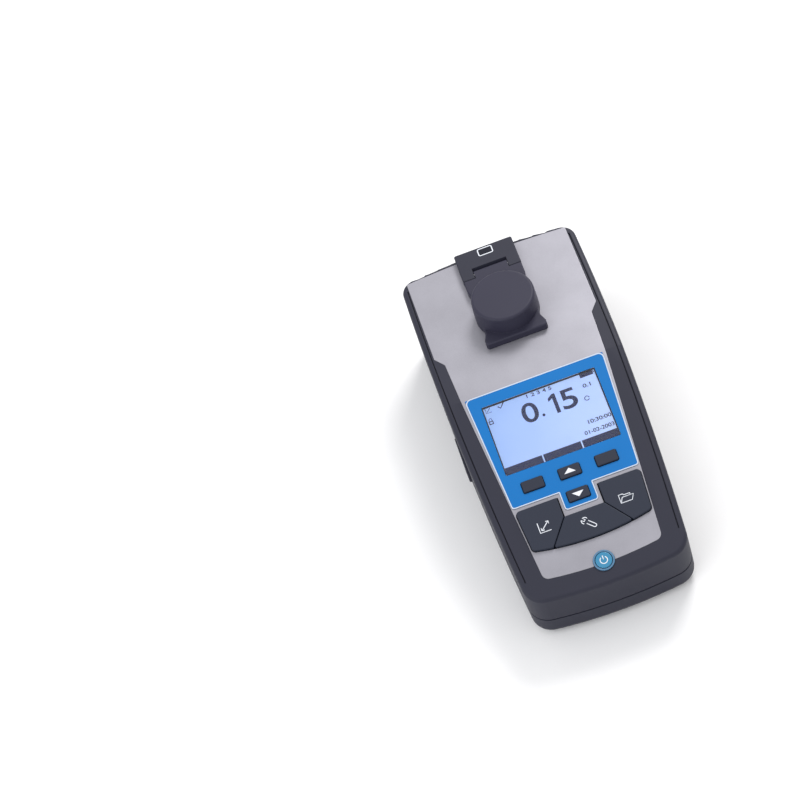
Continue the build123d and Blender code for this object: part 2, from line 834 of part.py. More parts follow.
with BuildPart() as optics_block:
    with BuildSketch(Plane.XY.offset(floor_top)):
        with Locations((0, well_y)):
            RectangleRounded(2 * block_half_x, 2 * block_half_y, 2)
    extrude(amount=block_top - floor_top)
    with BuildSketch(Plane.XY.offset(floor_top + lug_boss_height)):
        with Locations(*lug_places):
            Rectangle(lug_reach, lug_reach)
    extrude(amount=lug_thick)
    with BuildSketch(Plane.XY.offset(floor_top + lug_boss_height)):
        with Locations(*lug_places):
            Circle(screw_radius + screw_clear)
    extrude(amount=lug_thick, mode=Mode.SUBTRACT)
    with BuildSketch(Plane.XY.offset(well_floor - well_base)):
        with Locations((0, well_y)):
            Circle(well_radius + well_wall + block_clear)
    extrude(amount=tall, mode=Mode.SUBTRACT)
    for way in directions:
        with BuildSketch(beam_plane(way, socket_end)):
            Circle(socket_radius)
        extrude(amount=reach[way] - socket_end + 1, mode=Mode.SUBTRACT)
        with BuildSketch(beam_plane(way, well_radius)):
            Circle(beam_radius)
        extrude(amount=socket_end, mode=Mode.SUBTRACT)
write(optics_block.part, "optics_block")

with BuildPart() as optics_screws:
    lug_top = floor_top + lug_boss_height + lug_thick
    with BuildSketch(Plane.XY.offset(lug_top)):
        with Locations(*lug_places):
            Circle(screw_head_radius)
    extrude(amount=screw_head)
    with BuildSketch(Plane.XY.offset(floor_top - 0.8)):
        with Locations(*lug_places):
            Circle(screw_radius)
    extrude(amount=lug_top - floor_top + 0.8)
write(optics_screws.part, "optics_screws")

socket_fit = socket_radius - part_clear
with BuildPart() as beam_lenses:
    for way in directions:
        with BuildSketch(beam_plane(way, socket_end + 0.1)):
            Circle(socket_fit)
        extrude(amount=2.0)
        nose = beam_lenses.faces().sort_by(beam_axis(way))[-1]
        fillet(nose.edges(), 1.3)
write(beam_lenses.part, "beam_lenses")

# Lamp: a round-nosed bulb in a metal base
with BuildPart() as source_lamp:
    with BuildSketch(beam_section("source")):
        with BuildLine():
            nose = ThreePointArc((19.2, 0), (19.6, 1.5), (20.8, 2.4))
            Polyline(nose @ 1, (21.0, socket_fit), (block_half_x, socket_fit), (block_half_x, 0), nose @ 0)
        make_face()
    revolve(axis=beam_axis("source"))
write(source_lamp.part, "source_lamp")


def make_detector(label, way):
    # Metal can with a rim, up to the board that closes its socket
    end = reach[way]
    with BuildPart() as can:
        with BuildSketch(beam_plane(way, end)):
            Circle(socket_fit)
        extrude(amount=-0.8)
        with BuildSketch(beam_plane(way, end - 0.8)):
            Circle(socket_fit - 0.5)
        extrude(amount=-1.4)
    write(can.part, label)


make_detector("transmit_detector", "transmit")
make_detector("scatter_detector", "scatter")

with BuildPart() as sensor_boards:
    for way in directions:
        with BuildSketch(beam_plane(way, reach[way])):
            RectangleRounded(sensor_board, sensor_board, 1)
        extrude(amount=sensor_board_thick)
write(sensor_boards.part, "sensor_boards")

# Hinge block: a base across the head end, with an ear each side of the lid's tongue
with BuildPart() as hinge_block:
    with BuildSketch(Plane.XY.offset(plateau)):
        with Locations((0, (block_foot_y + block_head_y) / 2)):
            RectangleRounded(2 * block_half, block_head_y - block_foot_y, 1.2)
    extrude(amount=block_height)
    chamfer(hinge_block.faces().sort_by(Axis.Z)[-1].edges(), 0.5)
    slot_head_y = pin_y + lid_plate / 2 + lid_clear
    with BuildSketch(Plane.XY.offset(plateau)):
        with Locations((0, (block_foot_y - 1 + slot_head_y) / 2)):
            Rectangle(2 * slot_half, slot_head_y - block_foot_y + 1)
    extrude(amount=block_height, mode=Mode.SUBTRACT)
    # The slot's head wall leans back, so that the tongue clears it with the lid fully open
    block_top = plateau + block_height
    lean = radians(lid_swing - 90)
    tongue_back = lid_plate / 2 / cos(lean) + (block_top - pin_z) * tan(lean)
    relief_foot_z = pin_z - slot_relief_below
    with BuildSketch(Plane.YZ):
        with BuildLine():
            Polyline(
                (slot_head_y, relief_foot_z),
                (slot_head_y, block_top),
                (pin_y + tongue_back + slot_relief_clear, block_top),
                close=True,
            )
        make_face()
    extrude(amount=slot_half, both=True, mode=Mode.SUBTRACT)
    with BuildSketch(Plane.YZ):
        with Locations((pin_y, pin_z)):
            Circle(pin_radius + 0.02)
    extrude(amount=block_half - 0.8, both=True, mode=Mode.SUBTRACT)
write(hinge_block.part, "hinge_block")

with BuildPart() as hinge_pin:
    with BuildSketch(Plane.YZ):
        with Locations((pin_y, pin_z)):
            Circle(pin_radius)
    extrude(amount=block_half - 1.2, both=True)
write(hinge_pin.part, "hinge_pin")

# Lid: a waisted plate, a tall round cap with a hollow for the cell's top, and the hinge tongue
with BuildPart() as lid:
    tongue_half = slot_half - lid_clear
    plate_head_y = block_foot_y - lid_clear
    half = [*lid_sides, (lid_sides[-1][0], plate_head_y), (tongue_half, plate_head_y), (tongue_half, pin_y)]
    with BuildSketch(Plane.XY.offset(lid_bottom)):
        with BuildLine():
            Polyline(*half, *[(-x, y) for x, y in reversed(half)], close=True)
        make_face()
    extrude(amount=lid_plate)
    front = lid.faces().filter_by(Axis.Z).sort_by(Axis.Z)[-1].edges()
    chamfer([e for e in front if e.center().Y < plate_head_y - 0.1], 0.6)
    with BuildSketch(Plane.XY.offset(lid_bottom)):
        with Locations((0, well_y)):
            Circle(lid_radius)
    extrude(amount=lid_plate)
    with BuildSketch(Plane.XY.offset(lid_plate_top)):
        with Locations((0, well_y)):
            Circle(lid_radius)
    extrude(amount=lid_top - lid_plate_top, taper=2)
    fillet(lid.faces().sort_by(Axis.Z)[-1].edges(), 1.6)
    with BuildSketch(Plane.YZ):
        with Locations((pin_y, pin_z)):
            Circle(lid_plate / 2)
    extrude(amount=tongue_half, both=True)
    with BuildSketch(Plane.YZ):
        with Locations((pin_y, pin_z)):
            Circle(pin_radius + pin_fit)
    extrude(amount=tongue_half, both=True, mode=Mode.SUBTRACT)
    with BuildSketch(Plane.XY.offset(lid_bottom)):
        with Locations((0, well_y)):
            Circle(lid_hollow_radius)
    extrude(amount=lid_top - lid_roof - lid_bottom, mode=Mode.SUBTRACT)
    with BuildSketch(Plane.XY.offset(lid_bottom)):
        with Locations((0, well_y)):
            Circle(lid_seal_outer)
            Circle(lid_seal_inner, mode=Mode.SUBTRACT)
    extrude(amount=lid_seal_deep, mode=Mode.SUBTRACT)
write(lid.part, "lid")

with BuildPart() as lid_seal:
    with BuildSketch(Plane.XY.offset(plateau + 0.1)):
        with Locations((0, well_y)):
            Circle(lid_seal_outer - 0.05)
            Circle(lid_seal_inner + 0.05, mode=Mode.SUBTRACT)
    extrude(amount=lid_seal_deep + lid_lift - 0.1)
write(lid_seal.part, "lid_seal")

# Battery tray: a roofed block with a channel for each cell, open towards the door
with BuildPart() as battery_tray:
    with BuildSketch(Plane.XY.offset(floor_top)):
        with Locations((0, bay_mid_y)):
            RectangleRounded(2 * (bay_half + tray_wall), bay_long + 2 * tray_wall, 1)
    extrude(amount=tray_roof - floor_top)
    with BuildSketch(Plane.XZ.offset(-bay_foot_y)):
        with Locations(*[(x, cell_z) for x in cell_places]):
            Circle(channel_radius)
        with Locations(*[(x, cell_z / 2) for x in cell_places]):
            Rectangle(2 * channel_radius, cell_z)
    extrude(amount=-bay_long, mode=Mode.SUBTRACT)
write(battery_tray.part, "battery_tray")

# Cells lie head to tail: way 1 has its cap towards the lid end
cell_ways = [1 if i % 2 else -1 for i in range(cell_count)]
cap_gap = contact_thick + 0.1
with BuildPart() as batteries:
    for x, way in zip(cell_places, cell_ways):
        cap_wall = bay_head_y if way > 0 else bay_foot_y
        shoulder = cap_wall - way * (cap_gap + cell_nub)
        with BuildSketch(Plane(origin=(x, shoulder, cell_z), x_dir=(1, 0, 0), z_dir=(0, -way, 0))):
            Circle(cell_radius)
        extrude(amount=cell_body)
        with BuildSketch(Plane(origin=(x, shoulder, cell_z), x_dir=(1, 0, 0), z_dir=(0, way, 0))):
            Circle(cell_nub_radius)
        extrude(amount=cell_nub)
write(batteries.part, "batteries")

with BuildPart() as battery_contacts:
    for x, way in zip(cell_places, cell_ways):
        cap_wall = bay_head_y if way > 0 else bay_foot_y
        with BuildSketch(Plane(origin=(x, cap_wall, cell_z), x_dir=(1, 0, 0), z_dir=(0, -way, 0))):
            RectangleRounded(contact_size, contact_size, 1)
        extrude(amount=contact_thick)
write(battery_contacts.part, "battery_contacts")

# Leaf springs: a bent strip between the tray's end and each cell's flat end
with BuildPart() as battery_springs:
    for x, way in zip(cell_places, cell_ways):
        end_wall = bay_foot_y if way > 0 else bay_head_y
        free = bay_long - cap_gap - cell_nub - cell_body - 0.1
        with BuildSketch(Plane(origin=(x, end_wall, cell_z), x_dir=(0, way, 0), z_dir=(1, 0, 0))):
            with BuildLine():
                Polyline(
                    (0, -5), (0, 5), (contact_thick, 5), (contact_thick, -3), (free, 1.4),
                    (free, 0.8), (contact_thick * 1.6, -5), close=True,
                )
            make_face()
        extrude(amount=contact_size / 3, both=True)
write(battery_springs.part, "battery_springs")

# Battery door: a plate in the rebate, a raised pad in the opening, and a screw cup at each end
door_face = back + 0.15
with BuildPart() as battery_door:
    edge = door_rebate - door_gap
    with BuildSketch(Plane.XY.offset(door_face)):
        with Locations((0, bay_mid_y)):
            RectangleRounded(2 * (bay_half + edge), bay_long + 2 * edge, 1.8)
        for y in door_screws:
            with Locations((0, (y + bay_mid_y) / 2)):
                Rectangle(2 * door_neck_half, abs(y - bay_mid_y))
    extrude(amount=door_thick)
    with BuildSketch(Plane.XY.offset(door_face)):
        with Locations((0, bay_mid_y)):
            Rectangle(2 * (bay_half - door_gap), bay_long - 2 * door_gap)
    extrude(amount=floor_thick - 0.4)
    with BuildSketch(Plane.XY.offset(door_face + door_thick)):
        with Locations((0, bay_mid_y)):
            Rectangle(2 * (bay_half - 2), bay_long - 4)
    extrude(amount=floor_thick, mode=Mode.SUBTRACT)
    with BuildSketch(Plane.XY.offset(door_face)):
        with Locations(*[(0, y) for y in door_screws]):
            Circle(door_cup_radius)
    extrude(amount=door_cup_height)
    with BuildSketch(Plane.XY.offset(door_face)):
        with Locations(*[(0, y) for y in door_screws]):
            Circle(screw_head_radius + screw_clear)
    extrude(amount=screw_head, mode=Mode.SUBTRACT)
    with BuildSketch(Plane.XY.offset(door_face)):
        with Locations(*[(0, y) for y in door_screws]):
            Circle(screw_radius + screw_clear)
    extrude(amount=door_cup_height, mode=Mode.SUBTRACT)
    # Grip ribs across the outer face, as shallow grooves
    with BuildSketch(Plane.XY.offset(door_face)):
        with Locations((0, bay_mid_y)):
            with GridLocations(0, 5.0, 1, 5):
                SlotOverall(26, 1.4)
    extrude(amount=0.5, mode=Mode.SUBTRACT)
write(battery_door.part, "battery_door")

with BuildPart() as door_fixings:
    with BuildSketch(Plane.XY.offset(door_face)):
        with Locations(*[(0, y) for y in door_screws]):
            Circle(screw_head_radius)
            Rectangle(0.8, 2 * screw_head_radius, mode=Mode.SUBTRACT)
    extrude(amount=0.8)
    with BuildSketch(Plane.XY.offset(door_face + 0.8)):
        with Locations(*[(0, y) for y in door_screws]):
            Circle(screw_head_radius)
    extrude(amount=screw_head - 0.8)
    with BuildSketch(Plane.XY.offset(door_face + screw_head)):
        with Locations(*[(0, y) for y in door_screws]):
            Circle(screw_radius)
    extrude(amount=door_boss_height - 1 - screw_head - 0.5)
write(door_fixings.part, "door_screws")


def port_plane(depth):
    # Square to the left wall, at a depth inside its face
    return Plane(origin=(-side_middle[0] + depth, port_y, port_z), x_dir=(0, 1, 0), z_dir=(1, 0, 0))


with BuildPart() as side_port_cap:
    with BuildSketch(port_plane(-port_proud)):
        RectangleRounded(*port_cap, 3.0)
    extrude(amount=port_proud + port_recess - 0.1)
    fillet(side_port_cap.faces().sort_by(Axis.X)[0].edges(), 0.8)
    with BuildSketch(port_plane(port_recess - 0.1)):
        RectangleRounded(*port_hole, 1.5)
    extrude(amount=2.0)
    with BuildSketch(port_plane(port_recess + 0.4)):
        RectangleRounded(port_hole[0] - 2.4, port_hole[1] - 2.4, 0.8)
    extrude(amount=1.5, mode=Mode.SUBTRACT)
write(side_port_cap.part, "side_port_cap")

# Connector behind the port, with a flange on the pad inside the wall
with BuildPart() as port_connector:
    with BuildSketch(port_plane(port_pad)):
        RectangleRounded(port_cap[0], port_cap[1] - 2, 1)
    extrude(amount=1.2)
    with BuildSketch(port_plane(port_pad - 0.6)):
        Rectangle(port_hole[0] - 5, port_hole[1] - 1.5)
    extrude(amount=8)
    with BuildSketch(port_plane(port_pad - 0.6)):
        Rectangle(port_hole[0] - 7, port_hole[1] - 3.5)
    extrude(amount=5, mode=Mode.SUBTRACT)
write(port_connector.part, "port_connector")
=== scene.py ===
import json
import math

import bmesh
import bpy
from mathutils import Matrix, Vector


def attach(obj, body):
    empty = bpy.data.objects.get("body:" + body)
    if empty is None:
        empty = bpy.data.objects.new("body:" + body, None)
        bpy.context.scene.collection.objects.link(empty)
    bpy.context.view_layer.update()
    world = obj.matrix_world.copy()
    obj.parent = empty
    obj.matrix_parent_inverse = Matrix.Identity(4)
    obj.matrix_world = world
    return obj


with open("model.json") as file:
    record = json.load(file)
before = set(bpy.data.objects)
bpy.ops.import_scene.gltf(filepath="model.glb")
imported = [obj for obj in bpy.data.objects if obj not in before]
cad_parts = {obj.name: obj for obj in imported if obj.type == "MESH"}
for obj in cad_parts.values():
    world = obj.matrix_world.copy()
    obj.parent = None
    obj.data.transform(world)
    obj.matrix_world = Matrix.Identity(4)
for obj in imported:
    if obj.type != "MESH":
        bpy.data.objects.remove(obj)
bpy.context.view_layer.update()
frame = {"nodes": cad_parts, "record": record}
nodes = frame["nodes"]
mm = 0.001
print("frame loaded")

# Places on the meter, in millimetres
face = {"bendY": 13.4, "plateau": 61.0, "angle": 11.6}  # level head, then a face that falls to the foot
level = {"film": 0.3, "lcd": -1.75, "smallKey": 1.3, "padKey": 1.7, "power": 1.0}

# x runs across the sloping face, v up it from the bend, w out of it
slopePlace = (Matrix.Translation((0, face["bendY"] * mm, face["plateau"] * mm))
              @ Matrix.Rotation(math.radians(face["angle"]), 4, "X"))


def onSlope(x, v, w):
    return slopePlace @ Matrix.Translation((x * mm, v * mm, w * mm))


def onTop(x, y, z):
    return Matrix.Translation((x * mm, y * mm, z * mm))


def arcPoints(x, y, radius, start, end, count):
    angles = [math.radians(start + (end - start) * i / count) for i in range(count + 1)]
    return [(x + radius * math.cos(a), y + radius * math.sin(a)) for a in angles]


def roundedOutline(corners, radii, steps=6):
    # each corner of a polygon is replaced by an arc that touches both of its sides
    line = []
    for i, corner in enumerate(corners):
        here = Vector(corner)
        before = (Vector(corners[i - 1]) - here).normalized()
        after = (Vector(corners[(i + 1) % len(corners)]) - here).normalized()
        half = before.angle(after) / 2
        reach = radii[i] / math.tan(half)
        middle = here + (before + after).normalized() * radii[i] / math.sin(half)
        start, end = here + before * reach - middle, here + after * reach - middle
        first = math.degrees(math.atan2(start.y, start.x))
        turn = math.degrees(math.atan2(start.cross(end), start.dot(end)))
        line += arcPoints(middle.x, middle.y, radii[i], first, first + turn, steps)
    return line


def shade(red, green, blue):
    # screen values 0 to 255 turned to the linear values that shaders work in
    linear = [c / 255 / 12.92 if c <= 10 else ((c / 255 + 0.055) / 1.055) ** 2.4 for c in (red, green, blue)]
    return (*linear, 1.0)


def wire(tree, source, target):
    tree.links.new(source, target)


def calc(tree, kind, first, second=None, clamp=False):
    node = tree.nodes.new("ShaderNodeMath")
    node.operation = kind
    node.use_clamp = clamp
    for slot, value in zip(node.inputs, (first, second)):
        if isinstance(value, bpy.types.NodeSocket):
            wire(tree, value, slot)
        elif value is not None:
            slot.default_value = value
    return node.outputs[0]


def newGroup(name, inputs, outputs):
    tree = bpy.data.node_groups.new(name, "ShaderNodeTree")
    for label, value in inputs.items():
        socket = tree.interface.new_socket(name=label, in_out="INPUT", socket_type="NodeSocketFloat")
        socket.default_value = value
    for label, kind in outputs.items():
        tree.interface.new_socket(name=label, in_out="OUTPUT", socket_type="NodeSocket" + kind)
    return tree, tree.nodes.new("NodeGroupInput"), tree.nodes.new("NodeGroupOutput")


def noiseOn(tree, vector, scale, detail=2.0, rough=0.5):
    noise = tree.nodes.new("ShaderNodeTexNoise")
    noise.inputs["Detail"].default_value = detail
    noise.inputs["Roughness"].default_value = rough
    if isinstance(scale, bpy.types.NodeSocket):
        wire(tree, scale, noise.inputs["Scale"])
    else:
        noise.inputs["Scale"].default_value = scale
    wire(tree, vector, noise.inputs["Vector"])
    return noise.outputs["Fac"]


def makeFineGrain():
    # the spark-eroded skin of a moulding: height for a bump, and a slow change of tone around 1
    tree, given, out = newGroup("fineGrain", {"Scale": 3000.0, "Contrast": 0.08},
                                {"Height": "Float", "Tone": "Float"})
    place = tree.nodes.new("ShaderNodeTexCoord").outputs["Object"]
    small = noiseOn(tree, place, given.outputs["Scale"], 3.0, 0.62)
    wire(tree, small, out.inputs["Height"])
    slow = calc(tree, "SUBTRACT", noiseOn(tree, place, 55.0, 3.0), 0.5)
    speck = calc(tree, "SUBTRACT", small, 0.5)
    both = calc(tree, "ADD", calc(tree, "MULTIPLY", slow, 0.7), speck)
    change = calc(tree, "MULTIPLY", both, given.outputs["Contrast"])
    wire(tree, calc(tree, "ADD", change, 1.0), out.inputs["Tone"])
    return tree


def makeEdgeWearAndShade():
    # softens sharp edges in the light, and gives a mask of what rubbing has reached; on the keys the same
    # mask lays painted shade, the shadow of the gap around each key, on their edges
    tree, given, out = newGroup("edgeWearAndShade", {"Radius": 0.0003, "Reach": 3.0},
                                {"Mask": "Float", "Normal": "Vector"})
    soft = tree.nodes.new("ShaderNodeBevel")
    soft.samples = 6
    wire(tree, given.outputs["Radius"], soft.inputs["Radius"])
    wire(tree, soft.outputs["Normal"], out.inputs["Normal"])
    flat = tree.nodes.new("ShaderNodeNewGeometry")
    dot = tree.nodes.new("ShaderNodeVectorMath")
    dot.operation = "DOT_PRODUCT"
    wire(tree, soft.outputs["Normal"], dot.inputs[0])
    wire(tree, flat.outputs["Normal"], dot.inputs[1])
    bend = calc(tree, "SUBTRACT", 1.0, dot.outputs["Value"])
    place = tree.nodes.new("ShaderNodeTexCoord").outputs["Object"]
    patchy = calc(tree, "ADD", noiseOn(tree, place, 260.0, 4.0), 0.25)
    mask = calc(tree, "MULTIPLY", calc(tree, "MULTIPLY", bend, given.outputs["Reach"]), patchy, clamp=True)
    wire(tree, mask, out.inputs["Mask"])
    return tree


def makeHandMarks():
    # handling leaves some patches glossier than others
    tree, given, out = newGroup("handMarks", {"Base": 0.5, "Spread": 0.12}, {"Roughness": "Float"})
    place = tree.nodes.new("ShaderNodeTexCoord").outputs["Object"]
    broad = calc(tree, "SUBTRACT", noiseOn(tree, place, 42.0, 4.0, 0.6), 0.5)
    change = calc(tree, "MULTIPLY", broad, given.outputs["Spread"])
    wire(tree, calc(tree, "ADD", change, given.outputs["Base"], clamp=True), out.inputs["Roughness"])
    return tree


fineGrain, edgeWearAndShade, handMarks = makeFineGrain(), makeEdgeWearAndShade(), makeHandMarks()


def useGroup(tree, group, **values):
    node = tree.nodes.new("ShaderNodeGroup")
    node.node_tree = group
    for label, value in values.items():
        node.inputs[label].default_value = value
    return node


def newFinish(name):
    finish = bpy.data.materials.new(name)
    finish.use_nodes = True
    return finish, finish.node_tree, finish.node_tree.nodes["Principled BSDF"]


def mixColour(tree, share, first, second, kind="MIX"):
    mix = tree.nodes.new("ShaderNodeMix")
    mix.data_type = "RGBA"
    mix.blend_type = kind
    for slot, value in zip((mix.inputs[0], mix.inputs[6], mix.inputs[7]), (share, first, second)):
        if isinstance(value, bpy.types.NodeSocket):
            wire(tree, value, slot)
        else:
            slot.default_value = value
    return mix.outputs[2]


def grainy(name, look):
    # most of the meter: a moulded, painted or plated skin with grain, patchy gloss and rubbed edges; where a
    # look's edge colour is darker than its colour, as on the keys, the edges carry painted shade
    finish, tree, shader = newFinish(name)
    grain = useGroup(tree, fineGrain, Scale=look["grain"], Contrast=look.get("contrast", 0.1))
    edge = useGroup(tree, edgeWearAndShade, Radius=look.get("soft", 0.00025), Reach=look.get("reach", 2.0))
    marks = useGroup(tree, handMarks, Base=look["rough"], Spread=look.get("spread", 0.14))
    toned = mixColour(tree, 1.0, look["colour"], grain.outputs["Tone"], "MULTIPLY")
    # share of the edge colour: rubbing where the edge colour is lighter, painted shade where it is darker
    # (the keys)
    wornAndShaded = calc(tree, "MULTIPLY", edge.outputs["Mask"], look.get("wearAndShade", 0.4))
    wire(tree, mixColour(tree, wornAndShaded, toned, look["edge"]), shader.inputs["Base Color"])
    wire(tree, marks.outputs["Roughness"], shader.inputs["Roughness"])
    bump = tree.nodes.new("ShaderNodeBump")
    bump.inputs["Strength"].default_value = look.get("strength", 0.3)
    bump.inputs["Distance"].default_value = look.get("depth", 0.00002)
    wire(tree, grain.outputs["Height"], bump.inputs["Height"])
    wire(tree, edge.outputs["Normal"], bump.inputs["Normal"])
    wire(tree, bump.outputs["Normal"], shader.inputs["Normal"])
    shader.inputs["Metallic"].default_value = look.get("metal", 0.0)
    shader.inputs["Coat Weight"].default_value = look.get("coat", 0.0)
    shader.inputs["Coat Roughness"].default_value = 0.12
    shader.inputs["Specular IOR Level"].default_value = look.get("specular", 0.5)
    return finish


casePlastic = {"colour": shade(40, 41, 55), "edge": shade(72, 74, 90), "specular": 0.3, "rough": 0.52,
               "grain": 2600.0, "contrast": 0.16, "strength": 0.35, "depth": 0.00003, "soft": 0.0003,
               "reach": 2.4, "wearAndShade": 0.35}
lidPlastic = {"colour": shade(47, 46, 63), "edge": shade(78, 78, 98), "specular": 0.28, "rough": 0.5,
              "grain": 2600.0, "contrast": 0.14, "strength": 0.3, "depth": 0.00003, "soft": 0.0003,
              "reach": 2.2, "wearAndShade": 0.3}
silverSheet = {"colour": shade(158, 157, 166), "edge": shade(196, 196, 204), "rough": 0.42,
               "grain": 3400.0, "contrast": 0.34, "strength": 0.3, "depth": 0.00002, "metal": 0.55,
               "spread": 0.1, "wearAndShade": 0.5}
blueFilm = {"colour": shade(10, 108, 180), "edge": shade(60, 140, 205), "specular": 0.25, "rough": 0.36,
            "grain": 3000.0, "contrast": 0.12, "strength": 0.12, "depth": 0.00001, "coat": 0.05,
            "wearAndShade": 0.3, "soft": 0.0001}
# the keys' dark navy edge colour is painted shade: the shadow that falls in the gap around each key, laid on
# the key edges
keyPlastic = {"colour": shade(38, 43, 58), "edge": shade(16, 20, 40), "specular": 0.3, "rough": 0.5,
              "grain": 2800.0, "contrast": 0.14, "strength": 0.3, "depth": 0.00002, "soft": 0.0003,
              "reach": 1.2, "wearAndShade": 0.5}
powerPlastic = {"colour": shade(46, 128, 168), "edge": shade(120, 190, 220), "rough": 0.34,
                "grain": 2400.0, "contrast": 0.1, "coat": 0.3, "wearAndShade": 0.4, "soft": 0.0002}
ringPlastic = {"colour": shade(76, 118, 152), "edge": shade(160, 196, 220), "rough": 0.3, "grain": 2400.0,
               "contrast": 0.1, "coat": 0.4, "wearAndShade": 0.5, "soft": 0.0002}
blackRubber = {"colour": shade(38, 38, 42), "edge": shade(70, 70, 76), "rough": 0.72, "grain": 1800.0,
               "contrast": 0.2, "strength": 0.4, "depth": 0.00004, "wearAndShade": 0.3}
blackPlastic = {"colour": shade(40, 40, 44), "edge": shade(84, 84, 90), "rough": 0.5, "grain": 2600.0,
                "contrast": 0.14, "wearAndShade": 0.35}
whitePlastic = {"colour": shade(222, 222, 218), "edge": shade(240, 240, 238), "rough": 0.45,
                "grain": 2200.0, "contrast": 0.06, "wearAndShade": 0.2}
steelPlate = {"colour": shade(176, 176, 180), "edge": shade(222, 222, 226), "rough": 0.3, "grain": 5200.0,
              "contrast": 0.12, "strength": 0.2, "metal": 1.0, "wearAndShade": 0.6, "spread": 0.2}
boardGreen = {"colour": shade(24, 84, 52), "edge": shade(150, 146, 100), "rough": 0.38, "grain": 1400.0,
              "contrast": 0.3, "strength": 0.2, "coat": 0.4, "wearAndShade": 0.5}
componentBlack = {"colour": shade(30, 30, 33), "edge": shade(96, 96, 100), "rough": 0.55, "grain": 3200.0,
                  "contrast": 0.12, "wearAndShade": 0.3}
cellWrap = {"colour": shade(44, 46, 52), "edge": shade(170, 120, 60), "rough": 0.3, "grain": 900.0,
            "contrast": 0.1, "coat": 0.5, "wearAndShade": 0.2}
whiteInk = {"colour": shade(226, 230, 238), "edge": shade(240, 242, 246), "rough": 0.5, "grain": 4000.0,
            "contrast": 0.12, "strength": 0.15, "soft": 0.00002, "wearAndShade": 0.1}
lineInk = {"colour": shade(196, 208, 226), "edge": shade(220, 228, 238), "rough": 0.45, "grain": 4000.0,
           "contrast": 0.12, "strength": 0.15, "soft": 0.00002, "wearAndShade": 0.1}
navyInk = {"colour": shade(8, 28, 88), "edge": shade(14, 38, 100), "specular": 0.2, "rough": 0.4,
           "grain": 4000.0, "contrast": 0.1, "strength": 0.1, "soft": 0.00002, "wearAndShade": 0.1}


def glassFinish(name, look):
    finish, tree, shader = newFinish(name)
    marks = useGroup(tree, handMarks, Base=look["rough"], Spread=look["spread"])
    wire(tree, marks.outputs["Roughness"], shader.inputs["Roughness"])
    shader.inputs["Base Color"].default_value = look["colour"]
    shader.inputs["Transmission Weight"].default_value = 1.0
    shader.inputs["IOR"].default_value = look["bend"]
    return finish


clearWindow = {"colour": (0.97, 0.985, 1.0, 1.0), "rough": 0.03, "spread": 0.03, "bend": 1.49}
lensGlass = {"colour": (0.96, 0.98, 1.0, 1.0), "rough": 0.02, "spread": 0.02, "bend": 1.52}


def litFinish(name, look):
    # a backlit display: light comes evenly through it, a little weaker towards one corner
    finish, tree, shader = newFinish(name)
    place = tree.nodes.new("ShaderNodeTexCoord").outputs["Object"]
    turned = tree.nodes.new("ShaderNodeMapping")
    turned.inputs["Location"].default_value = look["start"]
    turned.inputs["Rotation"].default_value = (0.0, 0.0, look["turn"])
    turned.inputs["Scale"].default_value = (look["stretch"],) * 3
    wire(tree, place, turned.inputs["Vector"])
    ramp = tree.nodes.new("ShaderNodeTexGradient")
    wire(tree, turned.outputs["Vector"], ramp.inputs["Vector"])
    patch = calc(tree, "MULTIPLY", calc(tree, "SUBTRACT", noiseOn(tree, place, 60.0, 2.0), 0.5), 0.25)
    share = calc(tree, "ADD", ramp.outputs["Fac"], patch, clamp=True)
    colour = mixColour(tree, share, look["far"], look["near"])
    wire(tree, colour, shader.inputs["Base Color"])
    wire(tree, colour, shader.inputs["Emission Color"])
    shader.inputs["Emission Strength"].default_value = look["strength"]
    marks = useGroup(tree, handMarks, Base=0.35, Spread=0.1)
    wire(tree, marks.outputs["Roughness"], shader.inputs["Roughness"])
    return finish


displayGlass = {"near": shade(178, 200, 242), "far": shade(142, 174, 230), "strength": 0.5,
                "start": (0.5, 0.6, 0.0), "turn": 0.5, "stretch": 14.0}

finishes = {
    "case_plastic": grainy("casePlastic", casePlastic),
    "silver_sheet": grainy("silverSheet", silverSheet),
    "blue_film": grainy("blueFilm", blueFilm),
    "clear_window": glassFinish("clearWindow", clearWindow),
    "display_glass": litFinish("displayGlass", displayGlass),
    "white_plastic": grainy("whitePlastic", whitePlastic),
    "key_plastic": grainy("keyPlastic", keyPlastic),
    "power_plastic": grainy("powerPlastic", powerPlastic),
    "ring_plastic": grainy("ringPlastic", ringPlastic),
    "black_rubber": grainy("blackRubber", blackRubber),
    "black_plastic": grainy("blackPlastic", blackPlastic),
    "steel": grainy("steelPlate", steelPlate),
    "lens_glass": glassFinish("lensGlass", lensGlass),
    "board_green": grainy("boardGreen", boardGreen),
    "component_black": grainy("componentBlack", componentBlack),
    "cell_wrap": grainy("cellWrap", cellWrap),
}
lidSkin = grainy("lidPlastic", lidPlastic)
white = grainy("whiteInk", whiteInk)
hairline = grainy("lineInk", lineInk)
navy = grainy("navyInk", navyInk)
darkInk = grainy("darkInk", {**navyInk, "colour": shade(20, 22, 36), "edge": shade(30, 32, 48)})
print("finishes made")

# The CAD nodes get their finish, and smooth light over their triangles
smoothing = {"weld": 0.000001, "split": 28.0}
slotOf = {row["node"]: row["material_slot"] for row in frame["record"]["subparts"]}
for name, node in nodes.items():
    node.data.materials.clear()
    node.data.materials.append(lidSkin if name == "lid" else finishes[slotOf[name]])
    node.data.polygons.foreach_set("use_smooth", [True] * len(node.data.polygons))
    weld = node.modifiers.new("weld", "WELD")
    weld.merge_threshold = smoothing["weld"]
    split = node.modifiers.new("split", "EDGE_SPLIT")
    split.split_angle = math.radians(smoothing["split"])
    split.use_edge_sharp = False
    evened = node.modifiers.new("evened", "WEIGHTED_NORMAL")
    evened.weight = 50
    evened.keep_sharp = False
print("CAD nodes finished:", len(nodes))

ink = {"lift": 0.01, "thick": 0.035}


